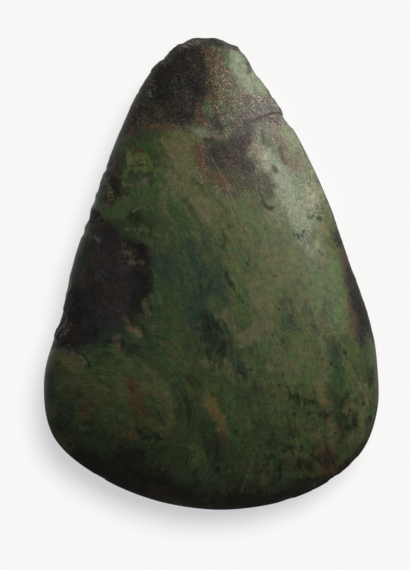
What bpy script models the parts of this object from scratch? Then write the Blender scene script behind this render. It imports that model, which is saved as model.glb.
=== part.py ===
"""Nephrite axe head: one pebble of green stone ground to a broad rounded blade and a blunt narrow butt.

The head lies on its lower face, as it is laid on a table, with the blade towards -Y and the butt
towards +Y. The origin is under the middle of its plan, on the surface that it lies on. Units are metres.
"""

import math

import bmesh
import bpy

# Overall size of the finished head
LENGTH = 0.165
WIDTH = 0.1175
THICKNESS = 0.032

# The two faces. The rim's middle lies this share of the thickness below the top.
UPPER_SHARE = 0.5
THICKEST_ALONG = 0.42  # share of the length from the blade to the thickest place
BLADE_FULLNESS = 2.3  # higher keeps the face full for longer before it falls to the edge
BUTT_FULLNESS = 2.3
BUTT_BLUNTNESS = 0.62  # 0.5 is an ellipse's nose, 1 is a plain wedge
FLANK_BLUNTNESS = 0.68
BLADE_SHARPNESS = 1.0
LENS_POWER = 2.1  # how flat the faces are across the middle

# The rim between the faces: half its height, where it changes, and how tightly it is rounded
BLADE_RIM = 0.0005
FLANK_RIM = 0.0024
BUTT_RIM = 0.0032
BLADE_ENDS_ALONG = 0.10
FLANK_BEGINS_ALONG = 0.36
FLANK_ENDS_ALONG = 0.80
RIM_TIGHTNESS = 26

# Flats ground on the head: the spot it rests on, and the struck end of the butt
REST_CUT = 0.0009
BUTT_CUT = 0.0006

# Shallow hollows of the pebble's own skin that the grinding never reached, on the upper face:
# (across, along) as shares of half the width and half the length, half-sizes likewise, and depth
HOLLOWS = (
    ("left hollow", (-0.62, 0.00), (0.30, 0.26), 0.0008),
    ("butt hollow", (-0.20, 0.74), (0.26, 0.17), 0.0007),
    ("right flank scar", (0.90, -0.08), (0.10, 0.24), 0.0006),
)
HOLLOW_FLOOR = 0.35  # share of a hollow's half-size that is its level floor

# The plan, anticlockwise from the right flank, as shares of half the width and half the length
PLAN = (
    (0.877, -0.045), (0.813, 0.078), (0.733, 0.241), (0.628, 0.422), (0.520, 0.576), (0.436, 0.669),
    (0.354, 0.766), (0.269, 0.843), (0.195, 0.932), (0.064, 0.995), (-0.127, 0.997), (-0.285, 0.920),
    (-0.425, 0.787), (-0.547, 0.603), (-0.654, 0.408), (-0.744, 0.221), (-0.827, 0.037),
    (-0.878, -0.121), (-0.934, -0.261), (-0.988, -0.394), (-0.999, -0.501), (-0.977, -0.621),
    (-0.911, -0.720), (-0.771, -0.813), (-0.550, -0.904), (-0.282, -0.971), (0.022, -1.000),
    (0.302, -0.985), (0.558, -0.933), (0.770, -0.845), (0.922, -0.725), (0.995, -0.556),
    (0.989, -0.373), (0.952, -0.210),
)

# How finely the head is faceted
AROUND = 132
POLE_TO_POLE = 26
STEPS_BETWEEN_POINTS = 24
SNAP = 0.00002
SHARP_ANGLE = 40  # degrees between two facets that a crease shows as an edge

STONE_COLOUR = (0.075, 0.095, 0.045, 1.0)
STONE_ROUGHNESS = 0.38


def clear_scene():
    for thing in list(bpy.data.objects):
        bpy.data.objects.remove(thing, do_unlink=True)


def smooth_step(low, high, value):
    share = min(1.0, max(0.0, (value - low) / (high - low)))
    return share * share * (3.0 - 2.0 * share)


def curve_point(before, start, end, after, share):
    """A point of the smooth curve that passes through start and end, heading at each as its neighbours lie."""
    point = []
    for a, b, c, d in zip(before, start, end, after):
        bend = (2 * a - 5 * b + 4 * c - d) * share**2
        twist = (3 * b - a - 3 * c + d) * share**3
        point.append((2 * b + (c - a) * share + bend + twist) / 2)
    return tuple(point)


def plan_curve():
    """The closed outline in metres, stretched so that the finished head has its exact width and length."""
    following = PLAN[1:] + PLAN[:1]
    second_next = PLAN[2:] + PLAN[:2]
    preceding = PLAN[-1:] + PLAN[:-1]
    shares = [
        curve_point(before, start, end, after, step / STEPS_BETWEEN_POINTS)
        for before, start, end, after in zip(preceding, PLAN, following, second_next)
        for step in range(STEPS_BETWEEN_POINTS)
    ]
    left, right = min(p[0] for p in shares), max(p[0] for p in shares)
    blade, butt = min(p[1] for p in shares), max(p[1] for p in shares)
    across = WIDTH / (right - left)
    along = (LENGTH + BUTT_CUT) / (butt - blade)
    return [((x - left) * across - WIDTH / 2, (y - blade) * along - LENGTH / 2) for x, y in shares]


def evenly_spaced(curve, count):
    """That many points at equal steps along a closed curve."""
    ends = curve[1:] + curve[:1]
    lengths = [math.dist(a, b) for a, b in zip(curve, ends)]
    step = sum(lengths) / count
    points, travelled, wanted = [], 0.0, 0.0
    for a, b, length in zip(curve, ends, lengths):
        while wanted < travelled + length and len(points) < count:
            share = (wanted - travelled) / length
            points.append((a[0] + (b[0] - a[0]) * share, a[1] + (b[1] - a[1]) * share))
            wanted += step
        travelled += length
    return points


def flank_reach(curve):
    """How far the outline reaches to the left and to the right of the long axis, by place along it."""
    blade = min(range(len(curve)), key=lambda i: curve[i][1])
    butt = max(range(len(curve)), key=lambda i: curve[i][1])
    turned = curve[blade:] + curve[:blade]
    to_butt = (butt - blade) % len(curve)
    right = turned[: to_butt + 1]
    left = [turned[0]] + turned[:to_butt - 1:-1]
    return left, right


def reach_at(flank, along):
    """The flank's distance from the long axis at this place, read between its points."""
    for (x0, y0), (x1, y1) in zip(flank, flank[1:]):
        if y0 <= along <= y1 and y1 > y0:
            return abs(x0 + (x1 - x0) * (along - y0) / (y1 - y0))
    return 0.0


def rim_half_height(share_along):
    """Half the rim's height: thin on the blade, blunt on the flanks, and bluntest on the butt."""
    flank = smooth_step(BLADE_ENDS_ALONG, FLANK_BEGINS_ALONG, share_along)
    butt = smooth_step(FLANK_ENDS_ALONG, 1.0, share_along)
    return BLADE_RIM + (FLANK_RIM - BLADE_RIM) * flank + (BUTT_RIM - FLANK_RIM) * butt


def lens(x, y, flanks):
    """The face's height over the rim at a place in the plan, as a share of its greatest height."""
    share_along = min(1.0, max(0.0, (y + LENGTH / 2) / (LENGTH + BUTT_CUT)))
    if share_along < THICKEST_ALONG:
        profile = 1.0 - (1.0 - share_along / THICKEST_ALONG) ** BLADE_FULLNESS
    else:
        past = (share_along - THICKEST_ALONG) / (1.0 - THICKEST_ALONG)
        profile = max(0.0, 1.0 - past**BUTT_FULLNESS) ** BUTT_BLUNTNESS
    reach = reach_at(flanks[0] if x < 0 else flanks[1], y)
    across = min(1.0, abs(x) / reach) if reach > abs(x) else 1.0
    blunt = smooth_step(BLADE_ENDS_ALONG, FLANK_BEGINS_ALONG, share_along)
    power = BLADE_SHARPNESS + (FLANK_BLUNTNESS - BLADE_SHARPNESS) * blunt
    return profile * (1.0 - across**LENS_POWER) ** power


def hollow_depth(x, y):
    """How deep the pebble's own hollows are at a place in the plan of the upper face."""
    depth = 0.0
    for _name, (across, along), (half_across, half_along), deepest in HOLLOWS:
        sideways = (2 * x / WIDTH - across) / half_across
        lengthways = (2 * y / LENGTH - along) / half_along
        depth += deepest * (1.0 - smooth_step(HOLLOW_FLOOR, 1.0, math.hypot(sideways, lengthways)))
    return depth


def shape_head(head):
    """Turns a unit sphere into the head: its equator becomes the outline, its poles the faces' crowns."""
    curve = plan_curve()
    flanks = flank_reach(curve)
    rim_points = evenly_spaced(curve, AROUND)
    crown_y = THICKEST_ALONG * (LENGTH + BUTT_CUT) - LENGTH / 2
    rise = THICKNESS * UPPER_SHARE
    fall = THICKNESS - rise + REST_CUT
    rim_level = THICKNESS - rise
    for vertex in head.verts:
        out = min(1.0, math.hypot(vertex.co.x, vertex.co.y))
        turn = math.atan2(vertex.co.y, vertex.co.x) / math.tau
        rim_x, rim_y = rim_points[round(turn * AROUND) % AROUND]
        x = rim_x * out
        y = crown_y + (rim_y - crown_y) * out
        rim = rim_half_height((y + LENGTH / 2) / LENGTH)
        rounding = math.sqrt(1.0 - out**RIM_TIGHTNESS)
        share = lens(x, y, flanks)
        if vertex.co.z >= 0.0:
            z = rim_level + rim * rounding + (rise - rim) * share - hollow_depth(x, y) * rounding
        else:
            z = rim_level - rim * rounding - (fall - rim) * share
        vertex.co = (x, y, z)


def grind_flat(head, point, outward):
    """Takes off what stands past a plane and closes the cut with one flat face."""
    everything = head.verts[:] + head.edges[:] + head.faces[:]
    cut = bmesh.ops.bisect_plane(
        head, geom=everything, dist=SNAP, plane_co=point, plane_no=outward, clear_outer=True
    )
    loop = [piece for piece in cut["geom_cut"] if isinstance(piece, bmesh.types.BMEdge)]
    bmesh.ops.edgeloop_fill(head, edges=loop)


def make_stone():
    stone = bpy.data.materials.new("nephrite")
    stone.use_nodes = True
    shader = stone.node_tree.nodes["Principled BSDF"]
    shader.inputs["Base Color"].default_value = STONE_COLOUR
    shader.inputs["Roughness"].default_value = STONE_ROUGHNESS
    shader.inputs["Metallic"].default_value = 0.0
    return stone


def make_head(collection):
    head = bmesh.new()
    bmesh.ops.create_uvsphere(head, u_segments=AROUND, v_segments=POLE_TO_POLE, radius=1.0)
    shape_head(head)
    grind_flat(head, (0.0, 0.0, 0.0), (0.0, 0.0, -1.0))
    grind_flat(head, (0.0, LENGTH / 2, 0.0), (0.0, 1.0, 0.0))
    bmesh.ops.recalc_face_normals(head, faces=head.faces)
    mesh = bpy.data.meshes.new("axe_head")
    head.to_mesh(mesh)
    head.free()
    mesh.shade_smooth()
    mesh.set_sharp_from_angle(angle=math.radians(SHARP_ANGLE))
    mesh.materials.append(make_stone())
    axe_head = bpy.data.objects.new("axe_head", mesh)
    collection.objects.link(axe_head)
    return axe_head


clear_scene()
axe_collection = bpy.data.collections.new("nephrite_axe_head")
bpy.context.scene.collection.children.link(axe_collection)
make_head(axe_collection)
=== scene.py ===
"""The look of a nephrite axe head, lying on a pale table and seen from straight above.

Lengths are in metres, and places on the head are in millimetres from the middle of its plan, with +X to
the right and +Y towards the butt, as the head lies with its blade towards -Y.
"""

import math

import bpy
import numpy as np
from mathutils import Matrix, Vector, noise


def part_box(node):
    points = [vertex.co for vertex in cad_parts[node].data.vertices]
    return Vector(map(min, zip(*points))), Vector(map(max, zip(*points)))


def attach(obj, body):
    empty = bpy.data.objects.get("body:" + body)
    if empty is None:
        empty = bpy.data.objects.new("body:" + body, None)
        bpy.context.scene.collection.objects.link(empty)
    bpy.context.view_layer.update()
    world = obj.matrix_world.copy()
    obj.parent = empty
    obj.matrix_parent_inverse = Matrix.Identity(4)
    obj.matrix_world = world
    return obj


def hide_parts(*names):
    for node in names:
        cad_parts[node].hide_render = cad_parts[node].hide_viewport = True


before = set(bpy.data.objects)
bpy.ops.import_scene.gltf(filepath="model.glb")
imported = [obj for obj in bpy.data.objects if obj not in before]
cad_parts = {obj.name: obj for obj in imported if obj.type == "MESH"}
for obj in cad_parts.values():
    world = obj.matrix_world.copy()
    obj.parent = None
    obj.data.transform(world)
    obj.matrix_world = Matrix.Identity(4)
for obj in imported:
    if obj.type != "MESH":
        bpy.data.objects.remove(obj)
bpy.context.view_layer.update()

# The ground form
# The head is one pebble of nephrite, ground on wet sandstone until both faces swell like a lens and meet in
# a thin rounded blade, blunter flanks and a butt that is blunter still. Its surface is laid out in rings,
# from each face's crown out to the rim that they share.
MM = 0.001
lowest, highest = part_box("axe_head")
WIDTH = highest.x - lowest.x
LENGTH = highest.y - lowest.y
THICKNESS = highest.z - lowest.z

RIM_LEVEL = THICKNESS / 2
BUTT_CUT = 0.6 * MM
REST_CUT = 0.9 * MM
THICKEST_ALONG = 0.42
FULLNESS = 2.3
BUTT_BLUNTNESS = 0.62
FLANK_BLUNTNESS = 0.68
LENS_POWER = 2.1
BLADE_RIM = 0.5 * MM
FLANK_RIM = 2.4 * MM
BUTT_RIM = 3.2 * MM
RIM_TIGHTNESS = 26
BLADE_ENDS_ALONG = 0.10
FLANK_BEGINS_ALONG = 0.36
FLANK_ENDS_ALONG = 0.80

# The pebble's own hollows, as shares of half the width and length, and their depth
HOLLOWS = (
    ((-0.62, 0.00), (0.30, 0.26), 0.8 * MM),
    ((-0.20, 0.74), (0.26, 0.17), 0.7 * MM),
    ((0.90, -0.08), (0.10, 0.24), 0.6 * MM),
)
HOLLOW_FLOOR = 0.35

# The plan, anticlockwise from the right flank, as shares of half the width and half the length
PLAN = np.array((
    (0.877, -0.045), (0.813, 0.078), (0.733, 0.241), (0.628, 0.422), (0.520, 0.576), (0.436, 0.669),
    (0.354, 0.766), (0.269, 0.843), (0.195, 0.932), (0.064, 0.995), (-0.127, 0.997), (-0.285, 0.920),
    (-0.425, 0.787), (-0.547, 0.603), (-0.654, 0.408), (-0.744, 0.221), (-0.827, 0.037),
    (-0.878, -0.121), (-0.934, -0.261), (-0.988, -0.394), (-0.999, -0.501), (-0.977, -0.621),
    (-0.911, -0.720), (-0.771, -0.813), (-0.550, -0.904), (-0.282, -0.971), (0.022, -1.000),
    (0.302, -0.985), (0.558, -0.933), (0.770, -0.845), (0.922, -0.725), (0.995, -0.556),
    (0.989, -0.373), (0.952, -0.210),
))
CURVE_STEPS = 60
RINGS_ABOVE = 160
RINGS_BELOW = 46
RIM_CROWDING = 1.25  # above 1 draws the rings together towards the rim


def smooth_step(low, high, value):
    share = np.clip((value - low) / (high - low), 0.0, 1.0)
    return share * share * (3.0 - 2.0 * share)


def plan_curve():
    """The closed outline in metres, as a smooth curve through the plan's points."""
    a, b, c, d = (np.roll(PLAN, shift, axis=0)[:, None] for shift in (1, 0, -1, -2))
    t = (np.arange(CURVE_STEPS) / CURVE_STEPS)[None, :, None]
    bend = (2 * a - 5 * b + 4 * c - d) * t**2
    twist = (3 * b - a - 3 * c + d) * t**3
    curve = ((2 * b + (c - a) * t + bend + twist) / 2).reshape(-1, 2)
    curve -= curve.min(axis=0)
    curve *= np.array((WIDTH, LENGTH + BUTT_CUT)) / curve.max(axis=0)
    return curve - (WIDTH / 2, LENGTH / 2)


def rim_half_height(along):
    flank = smooth_step(BLADE_ENDS_ALONG, FLANK_BEGINS_ALONG, along)
    butt = smooth_step(FLANK_ENDS_ALONG, 1.0, along)
    return BLADE_RIM + (FLANK_RIM - BLADE_RIM) * flank + (BUTT_RIM - FLANK_RIM) * butt


def lens(x, y, curve):
    """The face's height over the rim, as a share of its greatest height."""
    along = np.clip((y + LENGTH / 2) / (LENGTH + BUTT_CUT), 0.0, 1.0)
    before = np.clip(1.0 - along / THICKEST_ALONG, 0.0, 1.0)
    past = np.clip((along - THICKEST_ALONG) / (1.0 - THICKEST_ALONG), 0.0, 1.0)
    by_butt = (1.0 - past**FULLNESS) ** BUTT_BLUNTNESS
    profile = np.where(along < THICKEST_ALONG, 1.0 - before**FULLNESS, by_butt)
    tip, tail = curve[:, 1].argmin(), curve[:, 1].argmax()
    turned = np.roll(curve, -tip, axis=0)
    to_tail = (tail - tip) % len(curve)
    right, left = turned[: to_tail + 1], np.vstack((turned[to_tail:], turned[:1]))[::-1]
    reach_right = np.interp(y, np.maximum.accumulate(right[:, 1]), right[:, 0])
    reach_left = np.interp(y, np.maximum.accumulate(left[:, 1]), -left[:, 0])
    across = np.clip(np.abs(x) / np.maximum(np.where(x < 0, reach_left, reach_right), 1e-9), 0.0, 1.0)
    power = 1.0 + (FLANK_BLUNTNESS - 1.0) * smooth_step(BLADE_ENDS_ALONG, FLANK_BEGINS_ALONG, along)
    return profile * (1.0 - across**LENS_POWER) ** power


def hollow_depth(x, y):
    depth = np.zeros_like(x)
    for (across, along), (half_across, half_along), deepest in HOLLOWS:
        out = np.hypot((2 * x / WIDTH - across) / half_across, (2 * y / LENGTH - along) / half_along)
        depth += deepest * (1.0 - smooth_step(HOLLOW_FLOOR, 1.0, out))
    return depth


def strip_between(inner, outer):
    """Triangles that fill the strip between two rings, which both start at the same turn."""
    if len(inner) == 1:
        return [(inner[0], outer[j], outer[(j + 1) % len(outer)]) for j in range(len(outer))]
    faces, i, j = [], 0, 0
    while i < len(inner) or j < len(outer):
        here, there = inner[i % len(inner)], outer[j % len(outer)]
        if i == len(inner) or (j < len(outer) and (j + 0.5) * len(inner) <= (i + 0.5) * len(outer)):
            j += 1
            faces.append((here, there, outer[j % len(outer)]))
        else:
            i += 1
            faces.append((here, there, inner[i % len(inner)]))
    return faces


def face_of_rings(rings, rim_count, first):
    """One face's rings inside the rim: each vertex's share out from the crown and share of a turn."""
    counts = [1] + [max(6, round(rim_count * k / rings)) for k in range(1, rings)]
    outs = [1.0 - (1.0 - k / rings) ** RIM_CROWDING for k in range(rings)]
    out = np.concatenate([np.full(count, share) for count, share in zip(counts, outs)])
    turn = np.concatenate([np.arange(count) / count for count in counts])
    starts = first + np.concatenate(([0], np.cumsum(counts)))
    return out, turn, [list(range(a, b)) for a, b in zip(starts, starts[1:])]


rim_count = 6 * RINGS_ABOVE
rim = list(range(rim_count))
out_above, turn_above, rings_above = face_of_rings(RINGS_ABOVE, rim_count, rim_count)
out_below, turn_below, rings_below = face_of_rings(RINGS_BELOW, rim_count, rim_count + len(out_above))
out = np.concatenate((np.ones(rim_count), out_above, out_below))
turn = np.concatenate((np.arange(rim_count) / rim_count, turn_above, turn_below))
above = np.concatenate((np.ones(rim_count + len(out_above), bool), np.zeros(len(out_below), bool)))

triangles = []
for rings in (rings_above, rings_below):
    for inner, outer in zip(rings, rings[1:] + [rim]):
        facing = strip_between(inner, outer)
        triangles += facing if rings is rings_above else [face[::-1] for face in facing]
triangles = np.array(triangles)

curve = plan_curve()
closed_curve = np.vstack((curve, curve[:1]))
travelled = np.concatenate(([0.0], np.cumsum(np.hypot(*np.diff(closed_curve, axis=0).T))))
rim_x = np.interp(turn * travelled[-1], travelled, closed_curve[:, 0])
rim_y = np.interp(turn * travelled[-1], travelled, closed_curve[:, 1])
crown_y = THICKEST_ALONG * (LENGTH + BUTT_CUT) - LENGTH / 2
x = rim_x * out
y = crown_y + (rim_y - crown_y) * out
rim_half = rim_half_height((y + LENGTH / 2) / LENGTH)
rounding = np.sqrt(1.0 - out**RIM_TIGHTNESS)
swell = lens(x, y, curve)
rise = THICKNESS - RIM_LEVEL
fall = RIM_LEVEL + REST_CUT
z_above = RIM_LEVEL + rim_half * rounding + (rise - rim_half) * swell - hollow_depth(x, y) * rounding
z_below = RIM_LEVEL - rim_half * rounding - (fall - rim_half) * swell
z = np.maximum(np.where(above, z_above, z_below), 0.0)
ground = np.stack((x, np.minimum(y, LENGTH / 2), z), axis=1)


def normals_of(points):
    """Each vertex's normal, from the triangles round it."""
    a, b, c = (points[triangles[:, corner]] for corner in range(3))
    facing = np.cross(b - a, c - a)
    normals = np.zeros_like(points)
    for corner in range(3):
        np.add.at(normals, triangles[:, corner], facing)
    return normals / np.maximum(np.linalg.norm(normals, axis=1, keepdims=True), 1e-20)


# The stone's features
# A nephrite pebble's rind is dark, pitted and iron-stained, and the grinding left it wherever the pebble
# was hollow. Ground thin, it is mauve, taupe and flecked. Below it the stone is green, streaked with olive,
# sage, teal and near black. The pale sage on the upper right shoulder is partly a painted sheen, and the
# near black and umber marks partly paint shade towards the lower part and along the edges. Places are given
# in millimetres. A patch of rind is its border's width and its outline.
RIND = {
    "butt": (9.0, (
        (-13.8, 79.5), (-8.9, 81.6), (-2.9, 81.2), (-0.1, 75.6), (-0.1, 67.9), (-0.5, 62.0), (-4.0, 58.1),
        (-4.7, 52.2), (-9.6, 50.1), (-15.9, 51.5), (-20.1, 56.7), (-23.9, 59.5), (-25.3, 63.7),
        (-23.2, 67.9), (-20.1, 72.8), (-16.9, 76.0),
    )),
    "butt fringe": (9.0, (
        (-25.0, 60.9), (-18.7, 58.1), (-14.5, 51.8), (-18.0, 50.1), (-22.9, 52.5), (-26.4, 49.0),
        (-31.3, 47.6), (-29.9, 54.6),
    )),
    "left": (5.0, (
        (-38.3, 16.8), (-34.8, 17.2), (-31.6, 12.6), (-25.7, 11.2), (-21.8, 8.4), (-20.8, 4.2),
        (-19.7, -1.0), (-20.4, -5.6), (-22.5, -9.1), (-23.9, -14.0), (-27.8, -16.8), (-31.3, -15.4),
        (-34.8, -16.8), (-37.2, -19.9), (-41.1, -23.1), (-44.9, -25.5), (-49.5, -27.3), (-55.8, -25.2),
        (-55.8, -19.2), (-53.0, -14.3), (-51.6, -9.1), (-49.5, -5.6), (-46.0, -2.4), (-43.2, 1.1),
        (-41.4, 5.6), (-40.0, 10.2),
    )),
    "left notch": (2.5, (
        (-45.3, 17.2), (-43.9, 22.4), (-40.0, 22.4), (-37.2, 20.0), (-36.5, 17.2), (-39.7, 16.5),
    )),
    "right flank": (4.5, (
        (42.6, 20.3), (44.4, 19.6), (48.6, 10.5), (52.8, 0.7), (57.0, -10.8), (58.4, -20.3), (56.3, -22.4),
        (54.2, -20.6), (53.5, -23.8), (51.7, -24.8), (50.0, -19.6), (48.6, -13.3), (47.2, -6.3),
        (45.8, 0.7), (44.7, 7.0), (43.3, 13.3),
    )),
}
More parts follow.
